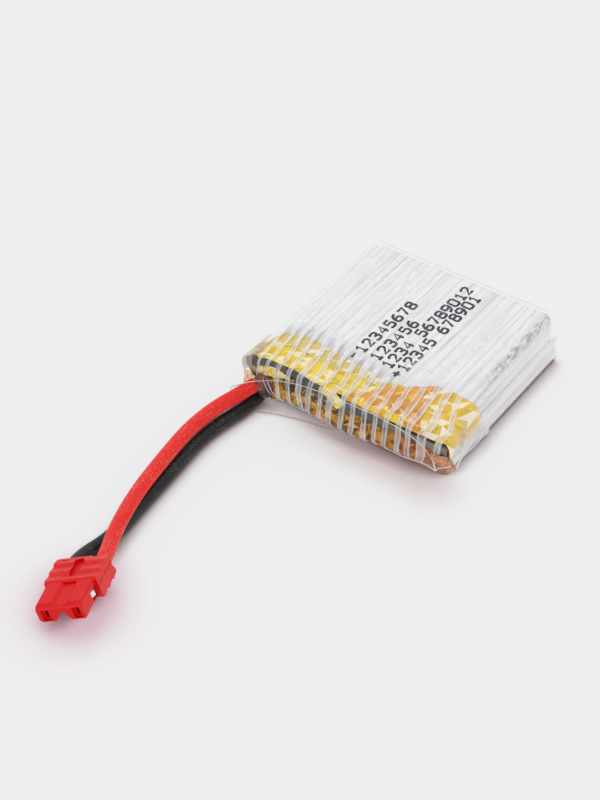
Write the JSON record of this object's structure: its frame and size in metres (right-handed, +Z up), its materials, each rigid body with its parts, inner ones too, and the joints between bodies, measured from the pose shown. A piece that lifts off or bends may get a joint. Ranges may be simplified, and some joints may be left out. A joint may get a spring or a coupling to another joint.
{
  "type": "lithium polymer battery pack",
  "caption": "Single-cell lithium polymer pouch battery in a clear shrink sleeve, with a protection board under amber tape and two flexible leads to a small red plug.",
  "frame": {"origin": "centre of the pack's footprint on the surface that it lies on, without the leads and plug", "axes": "+Z up from the flat side that it lies on, +Y to the folded tail of the cell, -Y to the board and leads, +X across the pack"},
  "size_m": [0.0288, 0.0711, 0.0076],
  "materials": {
    "pouch_laminate": "satin laminate",
    "anode": "coated copper foil",
    "cathode": "coated aluminium foil",
    "separator": "porous film",
    "nickel": "bright strip",
    "aluminium_tab": "bright strip",
    "tab_seal": "welded film",
    "board": "solder mask",
    "copper": "bright",
    "package": "moulded",
    "ceramic": "sintered",
    "black_strip": "satin",
    "yellow_tape": "glossy film",
    "amber_tape": "glossy clear amber film",
    "clear_film": "clear heat-shrunk film with pleats",
    "red_jacket": "silicone, satin",
    "black_jacket": "silicone, satin",
    "solder": "bright tin",
    "red_plug": "moulded, slightly glossy",
    "tinned_contact": "tinned sheet"
  },
  "bodies": {
    "root": {"pouch_cup": "pouch_laminate", "pouch_lid": "pouch_laminate", "anode_winding": "anode", "cathode_winding": "cathode", "inner_separator": "separator", "outer_separator": "separator", "negative_tab": "nickel", "positive_tab": "aluminium_tab", "negative_tab_seal": "tab_seal", "positive_tab_seal": "tab_seal", "circuit_board": "board", "solder_pads": "copper", "protection_chip": "package", "discharge_switch": "package", "charge_switch": "package", "resistors": "package", "capacitor": "ceramic", "insulating_strip": "black_strip", "top_tape": "yellow_tape", "front_tape": "amber_tape", "shrink_sleeve": "clear_film", "red_lead": "red_jacket", "black_lead": "black_jacket", "red_lead_tail": "solder", "black_lead_tail": "solder", "solder_joints": "solder", "plug_housing": "red_plug", "red_strands": "copper", "black_strands": "copper", "positive_contact": "tinned_contact", "negative_contact": "tinned_contact"}
  },
  "joints": []
}
